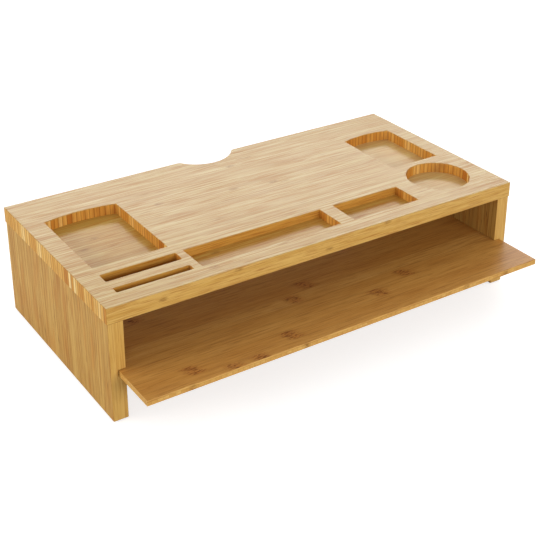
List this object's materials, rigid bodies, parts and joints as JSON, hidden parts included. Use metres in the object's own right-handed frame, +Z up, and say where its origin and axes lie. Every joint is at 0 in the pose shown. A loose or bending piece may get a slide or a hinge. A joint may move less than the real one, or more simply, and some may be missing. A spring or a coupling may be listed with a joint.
{
  "type": "laptop stand with pull-out shelf",
  "caption": "Thick bamboo stand for a laptop or monitor, with milled trays, device slots, a cup recess and a cable notch in its top, and a thin shelf that slides out below.",
  "frame": {"origin": "on the table, under the middle of the whole footprint with the shelf pulled out as it rests", "axes": "+X towards the user's right along the board, +Y towards the rear edge with the cable notch, +Z up; the shelf pulls out towards -Y"},
  "size_m": [0.56, 0.344, 0.142],
  "materials": {
    "bamboo_top": "clear satin lacquer on side-pressed bamboo strips",
    "bamboo_side": "clear satin lacquer, grain upright",
    "bamboo_shelf": "clear satin lacquer on three-ply bamboo",
    "dowel_wood": "raw",
    "bolt_steel": "zinc plated",
    "cam_zinc": "raw die cast",
    "pad_rubber": "matt"
  },
  "bodies": {
    "stand": {"top_board": "bamboo_top", "left_panel": "bamboo_side", "right_panel": "bamboo_side", "dowels": "dowel_wood", "cam_bolts": "bolt_steel", "cam_locks": "cam_zinc", "foot_pad_front_left": "pad_rubber", "foot_pad_rear_left": "pad_rubber", "foot_pad_front_right": "pad_rubber", "foot_pad_rear_right": "pad_rubber"},
    "shelf": {"pullout_shelf": "bamboo_shelf"}
  },
  "joints": [
    {"name": "shelf_slide", "type": "slide", "parent": "stand", "child": "shelf", "axis": [0, -1, 0], "range_m": [-0.0655, 0.1045]}
  ]
}
